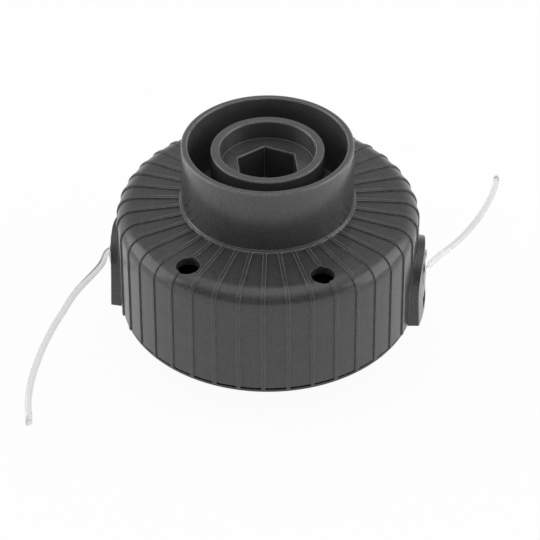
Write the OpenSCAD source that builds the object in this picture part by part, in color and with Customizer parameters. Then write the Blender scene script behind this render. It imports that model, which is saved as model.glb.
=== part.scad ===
// Two-line trimmer head: a ribbed shell with a drive collar, and under it a
// spool on a spring that a bump knob lifts to let out line.
// The head stands on its knob. Z points up to the drive, X runs through the two eyelets.

/* [Shell] */
// Outer radius of the shell at its lower edge
shell_r = 55.2; // [52:0.1:60]
// Height of the shell from its lower edge to the top of its shoulder
shell_h = 40.2; // [38:0.1:48]
// Thickness of the shell's wall and top
shell_wall = 2.8; // [2:0.1:3.4]
// How much the wall narrows on its way up
wall_draft = 1; // [0.4:0.1:2]
// Radius of the rounded shoulder
shoulder_r = 6.4; // [5:0.2:8]
// How far the pads reach down past the shell's lower edge
skirt_h = 1.8; // [1.4:0.1:2.2]
// Rise of the top between the shoulder and the collar
top_rise = 0.6; // [0.2:0.1:1.5]

/* [Ribs] */
// Number of ribs round the shell
rib_count = 40; // [24:4:48]
// Width of one rib
rib_w = 1.3; // [0.8:0.1:1.8]
// How far a rib stands out of the shell
rib_h = 0.45; // [0.3:0.05:0.8]
// How far a rib's end reaches down past the shell's lower edge
rib_drop = 0.5; // [0.2:0.1:0.8]

/* [Sight holes] */
// Radius of the round holes in the top
sight_r = 4.15; // [3:0.05:4.5]
// Distance of the holes' centres in from the shell's edge
sight_inset = 9.2; // [8:0.1:12]
// Angle of each hole from the line square to the eyelets
sight_a = 30; // [25:1:35]

/* [Collar and hub] */
// Outer radius of the collar at its rim
collar_r = 30.3; // [28:0.1:33]
// Thickness of the collar at its rim
collar_wall = 2.3; // [1.6:0.1:3]
// Height of the collar above the shell's shoulder
collar_h = 25; // [18:0.5:30]
// How much wider the collar is at its foot
collar_flare = 0.6; // [0.2:0.1:1.2]
// Radius of the hollow round where the collar meets the top
collar_fillet = 0.7; // [0.5:0.1:1.5]
// Outer radius of the hub ring
hub_r = 20; // [19:0.1:22]
// Radius of the register bore in the hub
hub_bore_r = 16.8; // [15.5:0.1:17.5]
// Depth of the register bore
hub_bore_h = 7.1; // [5:0.1:9]
// How far the hub's rim lies below the collar's rim
hub_drop = 2.5; // [1:0.1:5]
// Width across the flats of the drive socket
hex_af = 20; // [17:0.5:22]
// Depth of the drive socket
hex_h = 13.5; // [8:0.5:15]
// Turn of the drive socket about the axis
hex_turn = 42; // [0:1:60]
// Radius of the hole for the drive bolt
bolt_hole_r = 5.25; // [4:0.05:6.5]

/* [Guide post] */
// Outer radius of the post that the spool runs on
post_r = 13; // [12:0.1:14]
// Thickness of the post's wall
post_wall = 3; // [2:0.1:4]

/* [Eyelet pads] */
// How far the pads' curved faces stand out past the shell's edge
pad_proud = 3.6; // [3:0.1:4]
// Half the width of a pad's face, and the radius of its arch
pad_half_w = 14.5; // [13.5:0.1:15]
// How much wider a pad is for each millimetre towards the wall
pad_flare = 0.1; // [0.05:0.05:0.3]
// How much a pad's face leans in for each millimetre of height
pad_lean = 0.06; // [0.03:0.01:0.08]
// Height of the middle of a pad's arch above the shell's lower edge
arch_h = 10.2; // [9.5:0.1:11.5]
// Height of the eyelets above the shell's lower edge
eyelet_h = 13.7; // [13.2:0.1:15]

/* [Eyelets] */
// Inner radius of an eyelet
eyelet_bore_r = 2.6; // [2.4:0.1:2.8]
// Outer radius of an eyelet's barrel
eyelet_barrel_r = 3.5; // [3.2:0.1:4]
// Outer radius of an eyelet's flange
eyelet_flange_r = 6.8; // [5.6:0.1:6.8]
// Thickness of an eyelet's flange
eyelet_flange_h = 1; // [0.8:0.1:1.4]
// How far a flange stands out of its seat in the pad
eyelet_proud = 0.3; // [0.1:0.1:0.5]
// Radius of an eyelet's rounded mouth
eyelet_mouth_r = 0.8; // [0.5:0.1:0.8]

/* [Cover] */
// Distance of the cover's edge in from the shell's edge
cover_inset = 0.5; // [0.4:0.1:1]
// Thickness of the cover's plate
cover_t = 2.4; // [1.8:0.1:3]
// Height of the cover's ring inside the shell
spigot_h = 6.4; // [5.5:0.1:7]
// Thickness of the cover's ring inside the shell
spigot_wall = 2.2; // [1.6:0.1:2.4]
// Depth of the guide ring round the knob
guide_h = 3; // [2:0.1:4]
// Thickness of the guide ring round the knob
guide_wall = 2.2; // [1.6:0.1:2.6]
// Number of stiffening ribs under the cover
cover_rib_count = 12; // [6:1:20]
// Width of a stiffening rib
cover_rib_w = 1.4; // [1:0.1:2]
// Height of a stiffening rib
cover_rib_h = 0.9; // [0.5:0.1:1.2]

/* [Latches] */
// Half the width of a latch button
button_half_w = 8; // [6:0.1:8.5]
// Height of a latch button
button_h = 4.8; // [4:0.1:5]
// How far a latch button lies below the middle of the pad's face
button_sunk = 0.7; // [0.4:0.1:1.2]

/* [Spool] */
// Room between the spool's flanges and the shell's wall
flange_room = 5.2; // [4.8:0.1:6]
// Thickness of the spool's flanges
flange_t = 2; // [1.6:0.1:2.4]
// Outer radius of the spool's barrel
barrel_r = 20.6; // [20.2:0.1:23]
// Thickness of the spool's barrel
barrel_wall = 2.8; // [2:0.1:2.9]
// Height of the spring's floor above the spool's lower face
floor_up = 3.9; // [3:0.1:8]
// Thickness of the spring's floor
floor_t = 2.6; // [2:0.1:3]
// Depth of the knob's socket for the spool's neck
socket_h = 7.3; // [6:0.1:9]
// Thickness of the spool's neck
neck_wall = 3.4; // [2.6:0.1:3.6]
// Number of lugs on each end of the spool
lug_count = 6; // [4:1:6]
// Height of a lug
lug_h = 2; // [1.6:0.1:2.4]
// Width of a lug
lug_w = 7.5; // [5:0.5:7.5]
// Length of a lug along the radius
lug_l = 6; // [4:0.5:6]
// Stroke of the knob
bump_travel = 6; // [4:0.5:6.5]

/* [Line] */
// Diameter of the cutting line
line_d = 2.4; // [2:0.1:2.7]
// Distance of the wound line in from the flanges' edge
wound_inset = 6; // [5:0.5:12]

/* [Spring] */
// Wire diameter of the spring
wire_d = 1.8; // [1.4:0.1:2]
// Number of open turns in the spring
spring_turns = 5; // [4:1:6]
// Thickness of the washer under the spring
washer_t = 1; // [0.6:0.1:1.4]

/* [Knob] */
// Outer radius of the knob
knob_r = 30; // [27:0.5:30.5]
// Thickness of the knob's wall and floor
knob_wall = 3; // [2:0.1:3.4]
// Radius of the knob's lower edge
knob_edge_r = 6; // [3:0.5:7]
// Distance from the knob's lower face up to the lower ends of the pads
knob_drop = 13; // [12:0.5:16]
// Number of finger flutes round the knob
flute_count = 12; // [8:1:14]
// Depth of a finger flute
flute_depth = 1.4; // [0.8:0.1:1.6]

/* [Fits] */
// Clearance of a running fit, on the radius
run_gap = 0.08; // [0.05:0.01:0.1]
// Clearance round an eyelet's barrel, on the radius
eyelet_gap = 0.15; // [0.15:0.05:0.3]
// Clearance between pieces that snap together
snap_gap = 0.1; // [0.05:0.05:0.2]
// Clearance between pieces that move past each other
free_gap = 0.3; // [0.3:0.05:0.5]

/* [Hidden] */
$fn = 96;
eps = 0.5;
rim = 0.35;

// Heights, measured from the face that the head stands on
base_z = knob_drop + skirt_h;
shoulder_z = base_z + shell_h - shoulder_r;
top_z = base_z + shell_h;
ceiling_z = top_z - shell_wall;
deck_z = top_z + top_rise;
collar_z = top_z + collar_h;
hub_z = collar_z - hub_drop;
hub_floor_z = hub_z - hub_bore_h;
bolt_web_h = 3;
hex_floor_z = max(hub_floor_z - hex_h, ceiling_z + bolt_web_h);
eyelet_z = base_z + eyelet_h;
plate_z = base_z - 2 * free_gap;
cover_z = plate_z - cover_t;
lip_gap = 1.4;
lip_z = base_z - lip_gap;
arch_z = base_z + arch_h;
spool_z = plate_z + free_gap + lug_h;
spool_top_z = ceiling_z - bump_travel - lug_h - free_gap;
floor_top_z = spool_z + floor_up;
neck_z = knob_wall;
washer_z = floor_top_z + free_gap;
spring_z = washer_z + washer_t;
post_z = neck_z + bump_travel + 2 * free_gap;

// Radii that follow from the sizes above
shoulder_x = shell_r - wall_draft - shoulder_r;
inner_r = shell_r - shell_wall;
pad_r = shell_r + pad_proud;
eyelet_r = pad_r - pad_lean * (eyelet_z - knob_drop);
seat_x = eyelet_r + eyelet_proud - eyelet_flange_h;
seat_r = eyelet_flange_r + eyelet_gap;
cover_r = shell_r - cover_inset;
skirt_in_r = cover_r + free_gap;
flange_r = inner_r - flange_room;
wound_r = flange_r - wound_inset;
bore_start_x = inner_r - 4;
collar_foot_r = collar_r + collar_flare;
spigot_r = inner_r - wall_draft * spigot_h / shell_h - free_gap;
spigot_in_r = spigot_r - spigot_wall;
spool_bore_r = post_r + run_gap;
neck_r = spool_bore_r + neck_wall;
bay_r = barrel_r - barrel_wall;
washer_r = bay_r - free_gap;
washer_bore_r = post_r + free_gap;
spring_r = (washer_r + washer_bore_r) / 2;
guide_bore_r = knob_r + 2 * free_gap;
guide_r = guide_bore_r + guide_wall;
lug_in_r = guide_r + 1.2;
lug_out_r = lug_in_r + lug_l;
socket_r = neck_r + snap_gap;
bead_h = 0.5;
bead_w = 1;
bead_z = neck_z + socket_h / 2;

// The lugs let the spool turn by half a pitch over the knob's stroke
step_a = 180 / lug_count;
lug_a = asin(lug_w / 2 / lug_in_r);
stop_margin_a = 1.2;
lower_stop_a = 2 * lug_a + lug_h / bump_travel * step_a + stop_margin_a;
upper_stop_a = 2 * lug_a + step_a + stop_margin_a;

// The two chambers of the spool
mid_z = (spool_z + spool_top_z) / 2;
mid_t = 1.6;
wound_turns = floor((mid_z - mid_t / 2 - spool_z - flange_t - free_gap) / line_d);

// Latch windows in the pads
window_z = base_z + 2 * free_gap;
window_h = button_h + 2 * free_gap;
window_half_w = button_half_w + free_gap;
button_x = pad_r - pad_lean * (window_z + window_h / 2 - knob_drop) - button_sunk;
pad_root_x = shoulder_x;

// Routes of the two free lines, from inside each eyelet to the cut end.
// They are measured from the middle of the eyelet, in the plane of its flange's seat.
right_route = [[-7.5, -2.2, 0], [-5.4, -1.3, 0], [-2.6, -0.1, 0], [0, 0.9, 0], [1.3, 1.6, 0],
    [2.4, 2.6, 0], [4, 5.2, 0], [6.8, 9.3, 0], [9.7, 13.8, -0.5], [12.4, 18.5, -1],
    [15.2, 24, -1.5], [17.9, 30, -2], [20.1, 36, -3], [21.9, 42.5, -4.5], [23.7, 49.5, -6],
    [25.4, 57.5, -8], [26.7, 65.5, -10], [27.5, 72.5, -12], [27.7, 78.5, -14]];
left_route = [[-7.5, -2.2, 0], [-5.4, -1.3, 0], [-2.6, -0.1, 0], [0, 0.9, 0], [1.2, 1.5, 0],
    [2.2, 2.6, 0], [2.8, 4.2, -0.1], [3, 6.5, -0.3], [3.4, 9.5, -0.5], [4.7, 13.5, -0.6],
    [6.9, 18.7, -0.8], [9.3, 24.5, -1], [10.9, 30, -1.2], [12.5, 36, -2], [14.2, 43, -2.5],
    [15.7, 51, -3.5], [16.9, 60, -5], [17.2, 68.5, -6.5], [16.5, 76, -8], [14.4, 85, -10]];

// Shell outline, grown or shrunk by a distance
module shell_outline(grow = 0) {
    foot = shell_r + grow;
    polygon([[0, base_z], [foot, base_z], [shoulder_x + shoulder_r + grow, shoulder_z],
        [shoulder_x, top_z + grow], [collar_foot_r, deck_z + grow], [0, deck_z + grow]]);
    translate([shoulder_x, shoulder_z]) circle(r = shoulder_r + grow);
}

module shell_cavity() {
    rotate_extrude() {
        polygon([[0, base_z - eps], [inner_r, base_z - eps], [inner_r, base_z],
            [inner_r - wall_draft, shoulder_z], [shoulder_x, ceiling_z], [0, ceiling_z]]);
        translate([shoulder_x, shoulder_z]) circle(r = shoulder_r - shell_wall);
    }
}

// One rib on each side of the axis, running over the top, the shoulder and the wall.
// Its end reaches down over the gap between the shell and the cover's edge.
module rib_pair() {
    rotate([90, 0, 0]) linear_extrude(height = rib_w, center = true) {
        for (side = [0, 1]) mirror([side, 0]) difference() {
            union() {
                shell_outline(rib_h);
                translate([skirt_in_r - eps, base_z - rib_drop])
                    square([shell_r + rib_h - skirt_in_r + eps, rib_drop + eps]);
            }
            shell_outline(-shell_wall / 2);
            translate([-eps, 0]) square([collar_foot_r + eps, deck_z + 2 * eps]);
            translate([0, base_z - eps]) square([shell_r - shell_wall / 2, eps + 1]);
        }
    }
}

module ribs() {
    pitch_a = 360 / rib_count;
    for (i = [0 : rib_count / 2 - 1]) rotate([0, 0, (i + 0.5) * pitch_a]) rib_pair();
}

// Collar with a ledge at its foot that the ribs end on, and a hollow round above the ledge
module collar() {
    rotate_extrude() {
        polygon([[collar_r - collar_wall - collar_flare / 2, deck_z - 1],
            [collar_foot_r, deck_z - 1], [collar_foot_r, deck_z],
            [collar_r, collar_z - rim], [collar_r - rim, collar_z],
            [collar_r - collar_wall + rim, collar_z], [collar_r - collar_wall, collar_z - rim]]);
        difference() {
            translate([collar_r, deck_z - 1])
                square([collar_flare + collar_fillet, rib_h + collar_fillet + 1]);
            translate([collar_foot_r + collar_fillet, deck_z + rib_h + collar_fillet])
                circle(r = collar_fillet);
        }
    }
}

module hub() {
    rotate_extrude() polygon([[0, deck_z - 1], [hub_r + rim, deck_z - 1], [hub_r, hub_z - rim],
        [hub_r - rim, hub_z], [0, hub_z]]);
}

// Register bore, hexagonal drive socket and bolt hole, one below the other
module drive_bores() {
    hex_r = hex_af / 2 / cos(30);
    translate([0, 0, hub_floor_z]) cylinder(r = hub_bore_r, h = hub_bore_h + eps);
    translate([0, 0, hub_z - rim]) cylinder(r1 = hub_bore_r, r2 = hub_bore_r + 2 * rim, h = 2 * rim);
    rotate([0, 0, hex_turn]) translate([0, 0, hex_floor_z])
        cylinder(r = hex_r, h = hub_floor_z - hex_floor_z + eps, $fn = 6);
    rotate([0, 0, hex_turn]) translate([0, 0, hub_floor_z - rim])
        cylinder(r1 = hex_r, r2 = hex_r + 2 * rim, h = 2 * rim, $fn = 6);
    translate([0, 0, ceiling_z - eps]) cylinder(r = bolt_hole_r, h = hex_floor_z - ceiling_z + 2 * eps);
}

// Raised pad round an eyelet, arched at the top, with a face that follows the shell's round
module pad() {
    depth = pad_r - pad_root_x;
    root_half_w = pad_half_w + pad_flare * depth;
    intersection() {
        union() {
            intersection() {
                translate([pad_root_x, 0, arch_z]) rotate([0, 90, 0])
                    cylinder(r1 = root_half_w, r2 = pad_half_w, h = depth);
                translate([pad_root_x, -root_half_w, arch_z])
                    cube([depth, 2 * root_half_w, 2 * root_half_w]);
            }
            translate([0, 0, knob_drop]) linear_extrude(height = arch_z - knob_drop)
                polygon([[pad_root_x, -root_half_w], [pad_r, -pad_half_w],
                    [pad_r, pad_half_w], [pad_root_x, root_half_w]]);
        }
        translate([0, 0, knob_drop])
            cylinder(r1 = pad_r, r2 = pad_r - pad_lean * shell_h, h = shell_h);
    }
}

// Eyelet hole with the seat for its flange, and latch window, cut through a pad and its wall
module pad_cuts() {
    depth = pad_r - bore_start_x + eps;
    translate([bore_start_x, 0, eyelet_z]) rotate([0, 90, 0])
        cylinder(r = eyelet_barrel_r + eyelet_gap, h = depth);
    translate([seat_x, 0, eyelet_z]) rotate([0, 90, 0])
        cylinder(r = seat_r, h = pad_r - seat_x + eps);
    translate([bore_start_x, -window_half_w, window_z])
        cube([depth, 2 * window_half_w, window_h]);
}

module guide_post() {
    rotate_extrude() translate([post_r - post_wall, post_z])
        square([post_wall, ceiling_z - post_z + eps]);
}

// A ring of blocks that stop the spool, rooted a little way into their carrier
module lug_ring(z, turn) {
    for (i = [0 : lug_count - 1]) rotate([0, 0, turn + i * 360 / lug_count])
        translate([lug_in_r, -lug_w / 2, z]) cube([lug_l, lug_w, lug_h + eps]);
}

module sight_holes() {
    for (side = [90, 270], lean = [-sight_a, sight_a]) rotate([0, 0, side + lean])
        translate([shell_r - sight_inset, 0, ceiling_z - 2 * shoulder_r])
        cylinder(r = sight_r, h = 4 * shoulder_r, $fn = 48);
}

module housing() {
    color("#3c3c3d") {
        difference() {
            union() {
                rotate_extrude() shell_outline();
                ribs();
                for (side = [0, 180]) rotate([0, 0, side]) pad();
                hub();
            }
            shell_cavity();
            translate([0, 0, knob_drop - eps]) cylinder(r = skirt_in_r, h = skirt_h + eps);
            drive_bores();
            sight_holes();
            for (side = [0, 180]) rotate([0, 0, side]) pad_cuts();
        }
        collar();
        guide_post();
        lug_ring(ceiling_z - lug_h, upper_stop_a);
    }
}

// Flanged metal eyelet with a rounded mouth
module eyelet() {
    mouth_x = eyelet_bore_r + eyelet_mouth_r;
    inner_end = inner_r - seat_x - 2 * free_gap;
    translate([seat_x, 0, eyelet_z]) rotate([0, 90, 0]) rotate_extrude() {
        translate([eyelet_bore_r, inner_end])
            square([eyelet_barrel_r - eyelet_bore_r, eyelet_flange_h - eyelet_mouth_r - inner_end]);
        intersection() {
            translate([mouth_x, eyelet_flange_h - eyelet_mouth_r])
                circle(r = eyelet_mouth_r, $fn = 48);
            square([eyelet_flange_r, eyelet_flange_h]);
        }
        polygon([[mouth_x, 0], [eyelet_flange_r, 0], [eyelet_flange_r, eyelet_flange_h - rim],
            [eyelet_flange_r - rim, eyelet_flange_h], [mouth_x, eyelet_flange_h]]);
    }
}

module eyelet_right() {
    color("#a9abad") eyelet();
}

module eyelet_left() {
    color("#a9abad") rotate([0, 0, 180]) eyelet();
}

// Cover plate with its lip, its ring inside the shell and its ring round the knob
module cover_disc() {
    rotate_extrude() {
        polygon([[guide_bore_r, cover_z - guide_h + rim], [guide_bore_r + rim, cover_z - guide_h],
            [guide_r - rim, cover_z - guide_h], [guide_r, cover_z - guide_h + rim],
            [guide_r, cover_z], [cover_r - 2 * rim, cover_z], [cover_r, cover_z + 2 * rim],
            [cover_r, lip_z], [spigot_in_r, lip_z], [spigot_in_r, plate_z],
            [guide_bore_r, plate_z]]);
        translate([spigot_in_r, lip_z - eps / 2])
            square([spigot_wall, spigot_h + eps / 2]);
    }
}

// Ribs that stiffen the cover, in a ring between the knob's guide and the cover's edge
module cover_ribs() {
    rib_out_r = cover_r - 2 * cover_t;
    ring_w = cover_rib_w + rim;
    difference() {
        for (i = [0 : cover_rib_count - 1]) rotate([0, 0, (i + 0.5) * 360 / cover_rib_count])
            translate([guide_bore_r + eps, -cover_rib_w / 2, cover_z - cover_rib_h])
            cube([rib_out_r - guide_bore_r - eps, cover_rib_w, cover_rib_h + eps]);
        translate([0, 0, cover_z - cover_rib_h - eps])
            cylinder(r = guide_bore_r + eps, h = cover_rib_h + 2 * eps);
    }
    rotate_extrude() translate([rib_out_r - ring_w, cover_z - cover_rib_h])
        square([ring_w, cover_rib_h + eps]);
}

// Springy arm of the cover, and the button on it that fills the window of a pad
module latch() {
    arm_half_w = button_half_w + 1;
    arm_h = window_z + window_h - lip_z;
    start_x = spigot_r - spigot_wall / 2;
    groove = 0.5;
    intersection() {
        translate([0, -arm_half_w, lip_z - eps / 2])
            cube([pad_r, 2 * arm_half_w, arm_h + eps / 2]);
        rotate_extrude() translate([spigot_in_r, lip_z - eps])
            square([spigot_wall, arm_h + eps]);
    }
    difference() {
        translate([start_x, -button_half_w, window_z + free_gap])
            cube([button_x - start_x, 2 * button_half_w, button_h]);
        for (i = [1 : 3]) translate([button_x - groove, -button_half_w - eps,
                window_z + free_gap + i * button_h / 4 - groove / 2])
            cube([groove + eps, 2 * button_half_w + 2 * eps, groove]);
    }
}

// Slots that free each latch arm from the ring beside it
module latch_slots() {
    slot_w = 1;
    for (side = [0, 1]) mirror([0, side, 0])
        translate([spigot_in_r - spigot_wall, button_half_w + slot_w, lip_z + 1])
        cube([3 * spigot_wall, slot_w, 2 * spigot_h]);
}

module cover() {
    color("#343435") {
        difference() {
            cover_disc();
            for (side = [0, 180]) rotate([0, 0, side]) latch_slots();
        }
        for (side = [0, 180]) rotate([0, 0, side]) latch();
        cover_ribs();
        lug_ring(plate_z - eps, lower_stop_a);
    }
}

module spool() {
    color("#4a4a4b") {
        rotate_extrude() {
            translate([bay_r, spool_z]) square([barrel_wall, spool_top_z - spool_z]);
            for (z = [spool_z, spool_top_z - flange_t]) translate([bay_r, z])
                square([flange_r - bay_r, flange_t]);
            translate([bay_r, mid_z - mid_t / 2]) square([flange_r - bay_r, mid_t]);
            translate([spool_bore_r, floor_top_z - floor_t])
                square([bay_r + eps - spool_bore_r, floor_t]);
            translate([spool_bore_r, neck_z]) square([neck_wall, floor_top_z - neck_z]);
            polygon([[neck_r - eps, bead_z - bead_w], [neck_r, bead_z - bead_w],
                [neck_r + bead_h, bead_z], [neck_r, bead_z + bead_w],
                [neck_r - eps, bead_z + bead_w]]);
        }
        lug_ring(spool_z - lug_h, 0);
        lug_ring(spool_top_z - eps, 0);
    }
}

// Wound line, with its turns showing as rounds on the outside
module winding(z) {
    edge_x = wound_r - line_d / 2;
    wound_in_r = barrel_r + snap_gap / 2;
    rotate_extrude() {
        translate([wound_in_r, z]) square([edge_x - wound_in_r + rim, wound_turns * line_d]);
        for (i = [0 : wound_turns - 1]) translate([edge_x, z + (i + 0.5) * line_d])
            circle(r = line_d / 2, $fn = 32);
    }
}

module winding_upper() {
    color("#e6e6e2") winding(mid_z + mid_t / 2 + free_gap);
}

module winding_lower() {
    color("#e6e6e2") winding(spool_z + flange_t + free_gap);
}

// A round tube swept along a route
function unit(v) = v / norm(v);
function heading(route, i) = unit(route[min(i + 1, len(route) - 1)] - route[max(i - 1, 0)]);
function ring_points(centre, along, r, sides) =
    let (across = unit(cross(along, [0, 0, 1])), up = cross(across, along))
    [for (k = [0 : sides - 1], a = 360 * k / sides) centre + r * (cos(a) * across + sin(a) * up)];

module tube(route, r, sides) {
    rings = len(route);
    points = [for (i = [0 : rings - 1]) each ring_points(route[i], heading(route, i), r, sides)];
    walls = [for (i = [0 : rings - 2], k = [0 : sides - 1])
        let (a = i * sides + k, b = i * sides + (k + 1) % sides) [a, b, b + sides, a + sides]];
    start = [for (k = [sides - 1 : -1 : 0]) k];
    end = [for (k = [0 : sides - 1]) (rings - 1) * sides + k];
    polyhedron(points = points, faces = concat(walls, [start], [end]), convexity = 6);
}

module line_right() {
    color("#f1f1ee") translate([seat_x, 0, eyelet_z]) tube(right_route, line_d / 2, 8);
}

module line_left() {
    color("#f1f1ee") rotate([0, 0, 180]) translate([seat_x, 0, eyelet_z])
        tube(left_route, line_d / 2, 8);
}

// Compression spring with one closed turn at each end
function spring_rise(turn, closed, pitch) =
    turn < 1 ? turn * closed
    : turn < 1 + spring_turns ? closed + (turn - 1) * pitch
    : closed + spring_turns * pitch + (turn - 1 - spring_turns) * closed;

module spring() {
    closed = wire_d * 1.08;
    low = spring_z + wire_d / 2;
    high = ceiling_z - wire_d / 2;
    pitch = (high - low - 2 * closed) / spring_turns;
    per_turn = 24;
    steps = per_turn * (spring_turns + 2);
    sides = 8;
    points = [for (i = [0 : steps], k = [0 : sides - 1])
        let (a = 360 * i / per_turn, b = 360 * k / sides, x = spring_r + wire_d / 2 * cos(b),
            z = low + spring_rise(i / per_turn, closed, pitch) + wire_d / 2 * sin(b))
        [x * cos(a), x * sin(a), z]];
    walls = [for (i = [0 : steps - 1], k = [0 : sides - 1])
        let (p = i * sides + k, q = i * sides + (k + 1) % sides) [p, p + sides, q + sides, q]];
    start = [for (k = [0 : sides - 1]) k];
    end = [for (k = [sides - 1 : -1 : 0]) steps * sides + k];
    color("#b9bcc0")
        polyhedron(points = points, faces = concat(walls, [start], [end]), convexity = 10);
}

module thrust_washer() {
    color("#9fa3a8") rotate_extrude() translate([washer_bore_r, washer_z])
        square([washer_r - washer_bore_r, washer_t]);
}

// Bump knob: a fluted cup with a socket for the spool's neck
module knob() {
    wall_top = spool_z - free_gap;
    inside_r = knob_r - knob_wall;
    inside_edge = knob_edge_r / 2;
    socket_out_r = socket_r + bead_h + 2;
    flute_r = 4;
    color("#303031") difference() {
        rotate_extrude() difference() {
            union() {
                translate([0, knob_edge_r]) square([knob_r, wall_top - knob_edge_r]);
                square([knob_r - knob_edge_r, knob_edge_r + eps]);
                translate([knob_r - knob_edge_r, knob_edge_r]) circle(r = knob_edge_r);
            }
            polygon([[socket_out_r, knob_wall], [inside_r - inside_edge, knob_wall],
                [inside_r, knob_wall + inside_edge], [inside_r, wall_top + eps],
                [socket_out_r, wall_top + eps]]);
            translate([0, knob_wall]) square([socket_r, wall_top]);
            translate([0, neck_z + socket_h]) square([socket_out_r + eps, wall_top]);
            polygon([[socket_r - eps, bead_z - bead_w - snap_gap],
                [socket_r, bead_z - bead_w - snap_gap], [socket_r + bead_h, bead_z],
                [socket_r, bead_z + bead_w + snap_gap],
                [socket_r - eps, bead_z + bead_w + snap_gap]]);
        }
        for (i = [0 : flute_count - 1]) rotate([0, 0, i * 360 / flute_count])
            translate([knob_r + flute_r - flute_depth, 0, -eps])
            cylinder(r = flute_r, h = wall_top + 2 * eps, $fn = 48);
    }
}

housing();
eyelet_right();
eyelet_left();
cover();
spool();
winding_upper();
winding_lower();
line_right();
line_left();
spring();
thrust_washer();
knob();
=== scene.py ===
import math

import bpy
from mathutils import Matrix, Quaternion, Vector


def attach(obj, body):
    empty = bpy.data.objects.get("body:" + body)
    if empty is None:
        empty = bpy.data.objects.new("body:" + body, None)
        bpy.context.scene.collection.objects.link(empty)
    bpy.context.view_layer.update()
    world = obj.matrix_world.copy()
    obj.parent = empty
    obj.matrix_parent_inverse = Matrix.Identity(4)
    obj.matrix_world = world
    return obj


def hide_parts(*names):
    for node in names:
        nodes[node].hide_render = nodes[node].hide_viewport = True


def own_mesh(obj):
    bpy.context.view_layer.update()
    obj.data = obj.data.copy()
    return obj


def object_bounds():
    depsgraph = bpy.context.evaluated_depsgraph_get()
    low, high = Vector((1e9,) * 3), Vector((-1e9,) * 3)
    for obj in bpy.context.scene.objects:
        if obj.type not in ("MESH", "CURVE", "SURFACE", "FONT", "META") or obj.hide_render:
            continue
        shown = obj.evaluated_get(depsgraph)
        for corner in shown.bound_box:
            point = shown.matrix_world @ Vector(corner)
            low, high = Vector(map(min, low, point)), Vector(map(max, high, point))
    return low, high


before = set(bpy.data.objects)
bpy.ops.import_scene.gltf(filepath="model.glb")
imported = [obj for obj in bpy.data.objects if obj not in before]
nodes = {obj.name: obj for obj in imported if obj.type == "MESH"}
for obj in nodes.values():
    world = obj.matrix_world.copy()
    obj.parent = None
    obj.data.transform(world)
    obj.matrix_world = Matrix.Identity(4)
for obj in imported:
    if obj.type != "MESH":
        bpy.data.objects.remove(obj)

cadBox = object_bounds()
print("frame loaded")

# the camera stands at the photograph's viewing angle, a little right of the front
view = {
    "spot": (0.0512, -0.4597, 0.4046),
    "target": (0.0, 0.0, 0.0225),
    "lens": 107.73,
    "sensor": 36,
    "roll": 0.23,
    "shift": 0.0036,
    "nearest": 0.01,
    "farthest": 20,
}


def placeCamera():
    cameraData = bpy.data.cameras.new("viewCamera")
    cameraData.lens = view["lens"]
    cameraData.sensor_width = view["sensor"]
    cameraData.shift_x = view["shift"]
    cameraData.clip_start = view["nearest"]
    cameraData.clip_end = view["farthest"]
    camera = bpy.data.objects.new("viewCamera", cameraData)
    bpy.context.scene.collection.objects.link(camera)
    aim = Vector(view["target"]) - Vector(view["spot"])
    turn = aim.to_track_quat("-Z", "Y") @ Quaternion((0, 0, 1), -math.radians(view["roll"]))
    camera.matrix_world = Matrix.Translation(view["spot"]) @ turn.to_matrix().to_4x4()
    bpy.context.scene.camera = camera


placeCamera()
print("camera placed")


# small helpers for shader nodes; in newNode a value goes to the socket of its name, or where
# there is none to the node's setting of that name
def newNode(tree, kind, **values):
    made = tree.nodes.new(kind)
    for name, value in values.items():
        if name in made.inputs:
            made.inputs[name].default_value = value
        else:
            setattr(made, name, value)
    return made


def newGroup(name, inputs, outputs):
    group = bpy.data.node_groups.new(name, "ShaderNodeTree")
    for label, value in inputs.items():
        made = group.interface.new_socket(label, in_out="INPUT", socket_type="NodeSocketFloat")
        made.default_value = value
    for label in outputs:
        group.interface.new_socket(label, in_out="OUTPUT", socket_type="NodeSocketFloat")
    return group, group.nodes.new("NodeGroupInput"), group.nodes.new("NodeGroupOutput")


def mathNode(tree, operation, first, second):
    made = newNode(tree, "ShaderNodeMath", operation=operation)
    for place, value in enumerate((first, second)):
        if isinstance(value, (int, float)):
            made.inputs[place].default_value = value
        else:
            tree.links.new(value, made.inputs[place])
    return made.outputs[0]


def noiseOf(tree, vector, scale, detail=2.0, roughness=0.5):
    made = newNode(tree, "ShaderNodeTexNoise", Detail=detail, Roughness=roughness)
    tree.links.new(vector, made.inputs["Vector"])
    if isinstance(scale, (int, float)):
        made.inputs["Scale"].default_value = scale
    else:
        tree.links.new(scale, made.inputs["Scale"])
    return made.outputs["Fac"]


def rampOf(tree, value, stops):
    made = tree.nodes.new("ShaderNodeValToRGB")
    tree.links.new(value, made.inputs["Fac"])
    marks = made.color_ramp.elements
    while len(marks) < len(stops):
        marks.new(0.5)
    for mark, (place, shade) in zip(marks, stops):
        mark.position = place
        mark.color = (shade, shade, shade, 1)
    return made.outputs["Color"]


# moulded skin: the fine spark-eroded grain of the tool, and slow waves where the plastic sank
skinShape = {
    "sizes": {"Grain size": 2600.0, "Wave size": 70.0, "Grain share": 0.6},
    "grain": {"detail": 3.0, "roughness": 0.6},
    "wave": {"detail": 2.0, "roughness": 0.45},
    "cloud": {"detail": 4.0},
    "cloudsInWave": 3.0,
    "grainTone": [(0.3, 0.0), (0.7, 1.0)],
}


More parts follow.
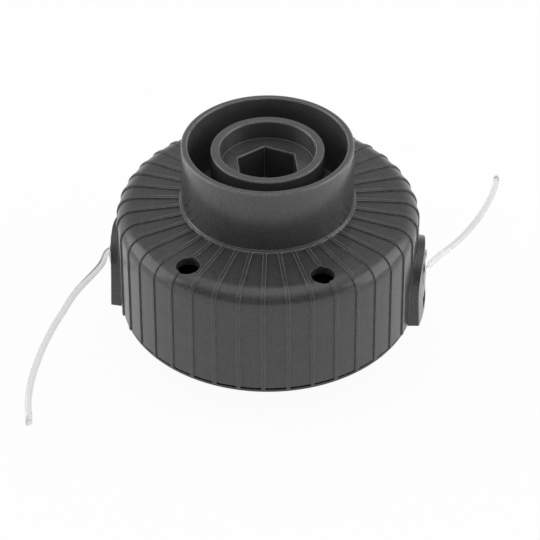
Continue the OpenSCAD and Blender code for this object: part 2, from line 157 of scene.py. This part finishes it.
def makeMouldedSkin():
    group, given, result = newGroup("mouldedSkin", skinShape["sizes"], ["Height", "Cloud", "Grain"])
    place = newNode(group, "ShaderNodeTexCoord").outputs["Object"]
    fine = noiseOf(group, place, given.outputs["Grain size"], **skinShape["grain"])
    wave = noiseOf(group, place, given.outputs["Wave size"], **skinShape["wave"])
    cloudSize = mathNode(group, "MULTIPLY", given.outputs["Wave size"], skinShape["cloudsInWave"])
    cloud = noiseOf(group, place, cloudSize, **skinShape["cloud"])
    grain = mathNode(group, "MULTIPLY", fine, given.outputs["Grain share"])
    group.links.new(mathNode(group, "ADD", grain, wave), result.inputs["Height"])
    group.links.new(cloud, result.inputs["Cloud"])
    group.links.new(rampOf(group, fine, skinShape["grainTone"]), result.inputs["Grain"])
    return group


# handling marks: thin scratches in two directions, in patches, and specks of pale dust
marksShape = {
    "sizes": {"Scratch size": 160.0, "Dust size": 1500.0, "Amount": 0.5},
    # each direction: how the scratches are turned, and how they are drawn out
    "directions": [((0.3, 0.9, 0.2), (1, 0.03, 1)), ((1.2, 0.2, 0.7), (0.04, 1, 1))],
    "scratchesInPatch": 6.0,
    "scratch": {"detail": 3.0, "roughness": 0.7},
    "scratchEdge": [(0.66, 0.0), (0.72, 1.0)],
    "patch": {"detail": 2.0},
    "patchEdge": [(0.45, 0.0), (0.65, 1.0)],
    "speckEdge": [(0.05, 1.0), (0.14, 0.0)],
    "dustPatch": {"scale": 310.0, "detail": 3.0},
    "dustPatchEdge": [(0.52, 0.0), (0.62, 1.0)],
}


def makeHandlingMarks():
    group, given, result = newGroup("handlingMarks", marksShape["sizes"], ["Scratches", "Dust"])
    place = newNode(group, "ShaderNodeTexCoord").outputs["Object"]
    total = None
    for turn, stretch in marksShape["directions"]:
        mapping = newNode(group, "ShaderNodeMapping", Rotation=turn, Scale=stretch)
        group.links.new(place, mapping.inputs["Vector"])
        size = mathNode(group, "MULTIPLY", given.outputs["Scratch size"],
                        marksShape["scratchesInPatch"])
        streak = noiseOf(group, mapping.outputs["Vector"], size, **marksShape["scratch"])
        line = rampOf(group, streak, marksShape["scratchEdge"])
        total = line if total is None else mathNode(group, "MAXIMUM", total, line)
    patch = noiseOf(group, place, given.outputs["Scratch size"], **marksShape["patch"])
    patch = rampOf(group, patch, marksShape["patchEdge"])
    scratches = mathNode(group, "MULTIPLY", total, patch)
    specks = newNode(group, "ShaderNodeTexVoronoi", feature="F1")
    group.links.new(place, specks.inputs["Vector"])
    group.links.new(given.outputs["Dust size"], specks.inputs["Scale"])
    spot = rampOf(group, specks.outputs["Distance"], marksShape["speckEdge"])
    dusty = noiseOf(group, place, **marksShape["dustPatch"])
    keep = rampOf(group, dusty, marksShape["dustPatchEdge"])
    dust = mathNode(group, "MULTIPLY", spot, keep)
    group.links.new(mathNode(group, "MULTIPLY", scratches, given.outputs["Amount"]),
                    result.inputs["Scratches"])
    group.links.new(mathNode(group, "MULTIPLY", dust, given.outputs["Amount"]),
                    result.inputs["Dust"])
    return group


# softened edges: the corner's rounded normal, and a mask of the corners, where the colour is
# lightened partly by edge wear and partly by a painted highlight
edgeWearAndGlintShape = {
    "sizes": {"Reach": 0.0005, "Amount": 1.0},
    "samples": 6,
    "sharpness": 8.0,
    "patch": {"scale": 420.0, "detail": 4.0, "roughness": 0.65},
    "patchEdge": [(0.35, 0.2), (0.7, 1.0)],
}


def makeEdgeWearAndGlintGroup():
    group, given, result = newGroup("edgeWearAndGlintGroup", edgeWearAndGlintShape["sizes"], ["Mask"])
    group.interface.new_socket("Rounded", in_out="OUTPUT", socket_type="NodeSocketVector")
    rounded = newNode(group, "ShaderNodeBevel", samples=edgeWearAndGlintShape["samples"])
    group.links.new(given.outputs["Reach"], rounded.inputs["Radius"])
    group.links.new(rounded.outputs["Normal"], result.inputs["Rounded"])
    flat = newNode(group, "ShaderNodeNewGeometry").outputs["Normal"]
    lean = newNode(group, "ShaderNodeVectorMath", operation="DOT_PRODUCT")
    group.links.new(rounded.outputs["Normal"], lean.inputs[0])
    group.links.new(flat, lean.inputs[1])
    away = mathNode(group, "SUBTRACT", 1.0, lean.outputs["Value"])
    place = newNode(group, "ShaderNodeTexCoord").outputs["Object"]
    patchy = rampOf(group, noiseOf(group, place, **edgeWearAndGlintShape["patch"]), edgeWearAndGlintShape["patchEdge"])
    corner = mathNode(group, "MULTIPLY", away, edgeWearAndGlintShape["sharpness"])
    mask = mathNode(group, "MULTIPLY", corner, patchy)
    mask = mathNode(group, "MULTIPLY", mask, given.outputs["Amount"])
    group.links.new(mathNode(group, "MINIMUM", mask, 1.0), result.inputs["Mask"])
    return group


mouldedSkin = makeMouldedSkin()
handlingMarks = makeHandlingMarks()
edgeWearAndGlintGroup = makeEdgeWearAndGlintGroup()


def placeGroup(tree, group, **values):
    made = tree.nodes.new("ShaderNodeGroup")
    made.node_tree = group
    for name, value in values.items():
        made.inputs[name.replace("_", " ")].default_value = value
    return made


# a Mix node holds its colours in sockets 6 and 7, and its plain values in 2 and 3
def mixColour(tree, mask, first, second):
    made = newNode(tree, "ShaderNodeMix", data_type="RGBA")
    for place, value in ((0, mask), (6, first), (7, second)):
        if isinstance(value, bpy.types.NodeSocket):
            tree.links.new(value, made.inputs[place])
        else:
            made.inputs[place].default_value = (*value, 1)
    return made.outputs[2]


def mixValue(tree, mask, first, second):
    made = newNode(tree, "ShaderNodeMix", data_type="FLOAT")
    for place, value in ((0, mask), (2, first), (3, second)):
        if isinstance(value, bpy.types.NodeSocket):
            tree.links.new(value, made.inputs[place])
        else:
            made.inputs[place].default_value = value
    return made.outputs[0]


def startMaterial(name):
    material = bpy.data.materials.new(name)
    material.use_nodes = True
    tree = material.node_tree
    return material, tree, tree.nodes["Principled BSDF"]


def addBump(tree, shader, height, distance, strength, normal=None):
    bump = newNode(tree, "ShaderNodeBump", Strength=strength, Distance=distance)
    tree.links.new(height, bump.inputs["Height"])
    if normal is not None:
        tree.links.new(normal, bump.inputs["Normal"])
    tree.links.new(bump.outputs["Normal"], shader.inputs["Normal"])


# how far a point lies between two heights, from 0 to 1
def heightShare(tree, low, high):
    height = newNode(tree, "ShaderNodeSeparateXYZ")
    tree.links.new(newNode(tree, "ShaderNodeTexCoord").outputs["Object"], height.inputs[0])
    share = newNode(tree, "ShaderNodeMapRange")
    share.inputs["From Min"].default_value = low
    share.inputs["From Max"].default_value = high
    tree.links.new(height.outputs["Z"], share.inputs["Value"])
    return share.outputs["Result"]


# glass-filled nylon, moulded in one colour and left as it comes from the tool
def mouldedNylon(name, finish):
    material, tree, shader = startMaterial(name)
    skin = placeGroup(tree, mouldedSkin, Grain_size=finish["grainSize"],
                      Wave_size=finish["waveSize"], Grain_share=finish["grainShare"])
    marks = placeGroup(tree, handlingMarks, Amount=finish["marks"])
    edgeWearAndGlint = placeGroup(tree, edgeWearAndGlintGroup, Reach=finish["edgeWearAndGlintReach"], Amount=finish["edgeWearAndGlint"])
    tone = mixValue(tree, finish["grainTone"], skin.outputs["Cloud"], skin.outputs["Grain"])
    body = mixColour(tree, tone, finish["dark"], finish["light"])
    rough = mixValue(tree, skin.outputs["Cloud"], finish["smooth"], finish["rough"])
    edgeWearAndGlintMask = edgeWearAndGlint.outputs["Mask"]
    edgeWearAndGlintColour = finish["edgeWearAndGlintColour"]
    if "collarFoot" in finish:  # only the shell has a collar
        collar = heightShare(tree, *finish["collarFoot"])
        # painted light: the collar and hub are painted paler towards the rim, standing in for the
        # brighter light they catch
        paintedLitShare = heightShare(tree, *finish["paintedLitShare"])
        paintedLitTone = mixColour(tree, tone, finish["paintedLitDark"], finish["paintedLitLight"])
        body = mixColour(tree, paintedLitShare, body, paintedLitTone)
        rough = mixValue(tree, collar, rough, finish["collarRough"])
        # painted highlight: on the collar and hub the corners are painted still paler, such as the
        # bright line at the collar's foot
        more = mathNode(tree, "ADD", 1.0, mathNode(tree, "MULTIPLY", collar, finish["collarGlintBoost"]))
        edgeWearAndGlintMask = mathNode(tree, "MINIMUM", mathNode(tree, "MULTIPLY", edgeWearAndGlintMask, more), 1.0)
        edgeWearAndGlintColour = mixColour(tree, collar, edgeWearAndGlintColour, finish["collarGlintColour"])
    # the corners are painted paler, partly as edge wear and partly as a painted highlight
    body = mixColour(tree, edgeWearAndGlintMask, body, edgeWearAndGlintColour)
    body = mixColour(tree, marks.outputs["Dust"], body, finish["dust"])
    tree.links.new(body, shader.inputs["Base Color"])
    rough = mixValue(tree, marks.outputs["Scratches"], rough, finish["scratched"])
    tree.links.new(rough, shader.inputs["Roughness"])
    shader.inputs["IOR"].default_value = finish["ior"]
    addBump(tree, shader, skin.outputs["Height"], finish["bump"], finish["bumpStrength"],
            edgeWearAndGlint.outputs["Rounded"])
    return material


# drawn nylon line: uneven milk inside, fine scratches and slow ripples
def drawnLine(name, finish):
    material, tree, shader = startMaterial(name)
    place = newNode(tree, "ShaderNodeTexCoord").outputs["Object"]
    milk = noiseOf(tree, place, **finish["milk"])
    tree.links.new(mixColour(tree, milk, finish["dark"], finish["light"]),
                   shader.inputs["Base Color"])
    marks = placeGroup(tree, handlingMarks, Amount=finish["marks"],
                       Scratch_size=finish["scratchSize"])
    tree.links.new(mixValue(tree, marks.outputs["Scratches"], finish["smooth"], finish["rough"]),
                   shader.inputs["Roughness"])
    shader.inputs["IOR"].default_value = finish["ior"]
    shader.inputs["Transmission Weight"].default_value = finish["clear"]
    addBump(tree, shader, noiseOf(tree, place, **finish["ripple"]), finish["bump"],
            finish["bumpStrength"])
    return material


# bare metal with the streaks of its brushing or drawing, and specks of dust
def bareMetal(name, finish):
    material, tree, shader = startMaterial(name)
    place = newNode(tree, "ShaderNodeTexCoord").outputs["Object"]
    mapping = newNode(tree, "ShaderNodeMapping", Scale=finish["brushing"])
    tree.links.new(place, mapping.inputs["Vector"])
    streak = noiseOf(tree, mapping.outputs["Vector"], finish["streakSize"], **finish["streak"])
    marks = placeGroup(tree, handlingMarks, Amount=finish["marks"],
                       Scratch_size=finish["scratchSize"])
    tone = mixColour(tree, streak, finish["dark"], finish["light"])
    tree.links.new(mixColour(tree, marks.outputs["Dust"], tone, finish["dust"]),
                   shader.inputs["Base Color"])
    shader.inputs["Metallic"].default_value = 1.0
    tree.links.new(mixValue(tree, streak, finish["smooth"], finish["rough"]),
                   shader.inputs["Roughness"])
    addBump(tree, shader, streak, finish["bump"], finish["bumpStrength"])
    return material


# finishes; a larger grain, wave, milk or streak size makes the pattern finer
nylonFinish = {
    "grainSize": 1500.0, "waveSize": 60.0, "grainShare": 0.5, "grainTone": 0.6, "marks": 0.3,
    "edgeWearAndGlintReach": 0.00025, "edgeWearAndGlint": 0.6,
    "dark": (0.028, 0.028, 0.029), "light": (0.078, 0.078, 0.079),
    # the corners' paler colour below stands partly for edge wear and partly for a painted highlight
    "edgeWearAndGlintColour": (0.3, 0.3, 0.3), "dust": (0.2, 0.2, 0.2),
    "smooth": 0.17, "rough": 0.25, "scratched": 0.4, "ior": 1.5,
    "bump": 0.0001, "bumpStrength": 0.8,
}
# the collar is smoother than the shell; towards its rim its colour is painted paler as painted
# light, and its corners get a paler painted highlight
shellFinish = {**nylonFinish, "collarFoot": (0.0556, 0.0559), "collarRough": 0.16,
               "collarGlintBoost": 4.0, "collarGlintColour": (0.42, 0.42, 0.42), "paintedLitShare": (0.062, 0.083),
               "paintedLitDark": (0.066, 0.066, 0.067), "paintedLitLight": (0.112, 0.112, 0.113)}
coverFinish = {**nylonFinish, "dark": (0.042, 0.042, 0.043), "light": (0.068, 0.068, 0.069),
               "grainSize": 1900.0, "smooth": 0.36, "rough": 0.48}
knobFinish = {**coverFinish, "marks": 0.9, "edgeWearAndGlint": 1.2, "edgeWearAndGlintReach": 0.0006,
              "rough": 0.56, "edgeWearAndGlintColour": (0.1, 0.1, 0.1)}
spoolFinish = {**nylonFinish, "dark": (0.05, 0.05, 0.051), "light": (0.08, 0.08, 0.081),
               "smooth": 0.36, "rough": 0.46}
lineFinish = {"milk": {"scale": 500.0, "detail": 3.0}, "ripple": {"scale": 900.0, "detail": 2.0},
              "dark": (0.77, 0.77, 0.77), "light": (0.83, 0.83, 0.83),
              "smooth": 0.05, "rough": 0.1, "clear": 0.9, "ior": 1.53,
              "marks": 0.12, "scratchSize": 240.0, "bump": 0.00001, "bumpStrength": 0.1}
# wound up it looks milky, and where it is snipped off it is rough and white
woundFinish = {**lineFinish, "dark": (0.84, 0.84, 0.84), "light": (0.9, 0.9, 0.9),
               "smooth": 0.3, "rough": 0.42, "clear": 0.3, "bumpStrength": 0.3}
snippedFinish = {**woundFinish, "smooth": 0.4, "rough": 0.5, "clear": 0.0, "bumpStrength": 0.6}
springFinish = {"brushing": (1, 1, 1), "streakSize": 1500.0,
                "streak": {"detail": 4.0, "roughness": 0.6},
                "dark": (0.5, 0.5, 0.52), "light": (0.66, 0.66, 0.68), "dust": (0.25, 0.25, 0.25),
                "smooth": 0.25, "rough": 0.4, "marks": 0.3, "scratchSize": 500.0,
                "bump": 0.00001, "bumpStrength": 0.5}
washerFinish = {**springFinish, "brushing": (18, 1, 1), "dark": (0.46, 0.46, 0.48)}
eyeletFinish = {**springFinish, "brushing": (1, 1, 14), "streakSize": 900.0, "marks": 0.6,
                "dark": (0.4, 0.405, 0.415), "light": (0.58, 0.585, 0.6),
                "smooth": 0.2, "rough": 0.36}

shellPlastic = mouldedNylon("shellPlastic", shellFinish)
coverPlastic = mouldedNylon("coverPlastic", coverFinish)
knobPlastic = mouldedNylon("knobPlastic", knobFinish)
spoolPlastic = mouldedNylon("spoolPlastic", spoolFinish)
cuttingLine = drawnLine("cuttingLine", lineFinish)
woundLine = drawnLine("woundLine", woundFinish)
snippedLine = drawnLine("snippedLine", snippedFinish)
eyeletMetal = bareMetal("eyeletMetal", eyeletFinish)
springWire = bareMetal("springWire", springFinish)
washerSteel = bareMetal("washerSteel", washerFinish)
print("materials made")


def dress(name, material):
    piece = nodes[name]
    piece.data.materials.clear()
    piece.data.materials.append(material)


dress("housing", shellPlastic)
dress("cover", coverPlastic)
dress("knob", knobPlastic)
dress("spool", spoolPlastic)
dress("winding_upper", woundLine)
dress("winding_lower", woundLine)
dress("eyelet_right", eyeletMetal)
dress("eyelet_left", eyeletMetal)
dress("spring", springWire)
dress("thrust_washer", washerSteel)
print("solids dressed")


# a bump presses the spring together between the head and the washer; here the spring only gets a
# mesh of its own and is not pressed
def pressSpring():
    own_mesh(nodes["spring"])


pressSpring()

millimetre = 0.001

# free lines: routes in millimetres, from the middle of the eyelet's seat in the right pad; the
# left line's is turned half round. Each interval of a route gets the same number of steps, and
# cutLean is how far the snipped end slants, as a share of the line's thickness
freeLines = {
    "diameter": 2.4,
    "eyelet": (57.17, 0.0, 28.5),
    "right": [(-7.5, -2.2, 0), (-5.4, -1.3, 0), (-2.6, -0.1, 0), (0, 0.9, 0), (1.3, 1.6, 0),
              (2.4, 2.6, 0), (4, 5.2, 0), (6.8, 9.3, 0), (9.7, 13.8, -0.5), (12.4, 18.5, -1),
              (15.2, 24, -1.5), (17.9, 30, -2), (20.1, 36, -3), (21.9, 42.5, -4.5),
              (23.7, 49.5, -6), (25.4, 57.5, -8), (26.7, 65.5, -10), (27.5, 72.5, -12),
              (27.7, 78.5, -14)],
    "left": [(-7.5, -2.2, 0), (-5.4, -1.3, 0), (-2.6, -0.1, 0), (0, 0.9, 0), (1.2, 1.5, 0),
             (2.2, 2.6, 0), (2.8, 4.2, -0.1), (3, 6.5, -0.3), (3.4, 9.5, -0.5),
             (4.7, 13.5, -0.6), (6.9, 18.7, -0.8), (9.3, 24.5, -1), (10.9, 30, -1.2),
             (12.5, 36, -2), (14.2, 43, -2.5), (15.7, 51, -3.5), (16.9, 60, -5),
             (17.2, 68.5, -6.5), (16.5, 76, -8), (14.4, 85, -10)],
    "steps": 2,
    "sides": 24,
    "cutLean": 0.55,
}


def lineRoute(side):
    sign = 1 if side == "right" else -1
    ex, ey, ez = freeLines["eyelet"]
    return [Vector((sign * (ex + x), sign * (ey + y), ez + z)) * millimetre
            for x, y, z in freeLines[side]]


# one smooth curve through the route's points
def smoothRoute(route, steps):
    ends = [2 * route[0] - route[1]] + route + [2 * route[-1] - route[-2]]
    made = []
    for a, b, c, d in zip(ends, ends[1:], ends[2:], ends[3:]):
        for step in range(steps):
            t = step / steps
            made.append(0.5 * (2 * b + (c - a) * t + (2 * a - 5 * b + 4 * c - d) * t * t
                               + (3 * b - a - 3 * c + d) * t ** 3))
    return made + [route[-1]]


def makeFreeLine(side):
    route = smoothRoute(lineRoute(side), freeLines["steps"])
    radius = freeLines["diameter"] / 2 * millimetre
    sides = freeLines["sides"]
    corners = []
    faces = [tuple(range(sides))]
    for i, centre in enumerate(route):
        along = (route[min(i + 1, len(route) - 1)] - route[max(i - 1, 0)]).normalized()
        across = along.cross(Vector((0, 0, 1))).normalized()
        up = across.cross(along)
        last = i == len(route) - 1
        for k in range(sides):
            turn = math.tau * k / sides
            offset = math.cos(turn) * across + math.sin(turn) * up
            lean = freeLines["cutLean"] * radius * (math.cos(turn) - 1) if last else 0
            corners.append(centre + radius * offset + along * lean)
    for i in range(len(route) - 1):
        for k in range(sides):
            a = i * sides + k
            b = i * sides + (k + 1) % sides
            faces.append((a, a + sides, b + sides, b))
    faces.append(tuple(reversed(range(len(corners) - sides, len(corners)))))
    mesh = bpy.data.meshes.new("freeLine" + side.capitalize())
    mesh.from_pydata([tuple(c) for c in corners], [], faces)
    mesh.polygons.foreach_set("use_smooth", [len(f) == 4 for f in faces])
    mesh.materials.append(cuttingLine)
    # the snips whiten the cut and the last step before it
    mesh.materials.append(snippedLine)
    for face in list(mesh.polygons)[-sides - 1:]:
        face.material_index = 1
    piece = bpy.data.objects.new("freeLine" + side.capitalize(), mesh)
    bpy.context.scene.collection.objects.link(piece)
    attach(piece, "head")
    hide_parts("line_" + side)


for side in ("right", "left"):
    makeFreeLine(side)
print("free lines made")

# studio: a pale floor, a white surround and soft lamps
studio = {
    "floorReach": 4.0,  # half the length of its side
    "floorGap": 0.0001,
    "floorTone": 0.88,
    "floorRoughness": 0.9,
    # how much of the floor's own tone gives way to plain white where it is seen
    "floorGlow": 0.95,
    # brightness of the room by height, from straight down to straight up, on the near side,
    # where the camera stands, and on the far side
    "nearSide": [(0.0, 1.0), (0.57, 1.0), (0.63, 0.12), (0.84, 0.12), (0.93, 0.6), (0.98, 1.2),
                 (1.0, 1.4)],
    "farSide": [(0.0, 1.0), (0.5, 1.0), (0.64, 0.8), (0.8, 0.5), (0.88, 0.6), (0.96, 1.2),
                (1.0, 1.4)],
    "sideShift": 0.5,
    "sideBlend": [(0.0, 0.0), (0.6, 1.0)],
    # each lamp: its place, the length of its side and its power
    "lampTarget": (0, 0, 0.04),
    "lamps": [
        ("leftSoftbox", (-1.1, 0.0, 0.5), 1.0, 6.0),
        ("rightSoftbox", (1.1, 0.1, 0.5), 1.0, 6.0),
    ],
}


def makeFloor():
    reach = studio["floorReach"]
    mesh = bpy.data.meshes.new("floor")
    mesh.from_pydata([(-reach, -reach, 0), (reach, -reach, 0), (reach, reach, 0),
                      (-reach, reach, 0)], [], [(0, 1, 2, 3)])
    floor = bpy.data.objects.new("floor", mesh)
    floor.location.z = cadBox[0][2] - studio["floorGap"]
    bpy.context.scene.collection.objects.link(floor)
    material, tree, shader = startMaterial("paleFloor")
    tone = studio["floorTone"]
    shader.inputs["Base Color"].default_value = (tone, tone, tone, 1)
    shader.inputs["Roughness"].default_value = studio["floorRoughness"]
    glow = newNode(tree, "ShaderNodeEmission", Color=(1, 1, 1, 1), Strength=1.0)
    rays = newNode(tree, "ShaderNodeLightPath")
    seen = mathNode(tree, "MAXIMUM", rays.outputs["Is Camera Ray"], rays.outputs["Is Glossy Ray"])
    seen = mathNode(tree, "MAXIMUM", seen, rays.outputs["Is Transmission Ray"])
    share = mathNode(tree, "MULTIPLY", seen, studio["floorGlow"])
    mix = newNode(tree, "ShaderNodeMixShader")
    tree.links.new(share, mix.inputs[0])
    tree.links.new(shader.outputs[0], mix.inputs[1])
    tree.links.new(glow.outputs[0], mix.inputs[2])
    tree.links.new(mix.outputs[0], tree.nodes["Material Output"].inputs["Surface"])
    mesh.materials.append(material)


def makeSurround():
    world = bpy.data.worlds.new("surround")
    world.use_nodes = True
    tree = world.node_tree
    tree.nodes.clear()
    direction = newNode(tree, "ShaderNodeTexCoord").outputs["Generated"]
    split = newNode(tree, "ShaderNodeSeparateXYZ")
    tree.links.new(direction, split.inputs[0])
    height = mathNode(tree, "MULTIPLY", mathNode(tree, "ADD", split.outputs["Z"], 1.0), 0.5)
    depth = mathNode(tree, "ADD", split.outputs["Y"], studio["sideShift"])
    farShare = rampOf(tree, depth, studio["sideBlend"])
    nearTone = rampOf(tree, height, studio["nearSide"])
    farTone = rampOf(tree, height, studio["farSide"])
    room = newNode(tree, "ShaderNodeBackground", Strength=1.0)
    tree.links.new(mixColour(tree, farShare, nearTone, farTone), room.inputs["Color"])
    out = newNode(tree, "ShaderNodeOutputWorld")
    tree.links.new(room.outputs[0], out.inputs["Surface"])
    bpy.context.scene.world = world


def makeLamps():
    for name, spot, size, power in studio["lamps"]:
        lampData = bpy.data.lights.new(name, "AREA")
        lampData.shape = "SQUARE"
        lampData.size = size
        lampData.energy = power
        lamp = bpy.data.objects.new(name, lampData)
        bpy.context.scene.collection.objects.link(lamp)
        lamp.location = spot
        aim = Vector(studio["lampTarget"]) - Vector(spot)
        lamp.rotation_euler = aim.to_track_quat("-Z", "Y").to_euler()


makeFloor()
makeSurround()
makeLamps()
bpy.context.scene.view_settings.view_transform = "Standard"
print("studio made")
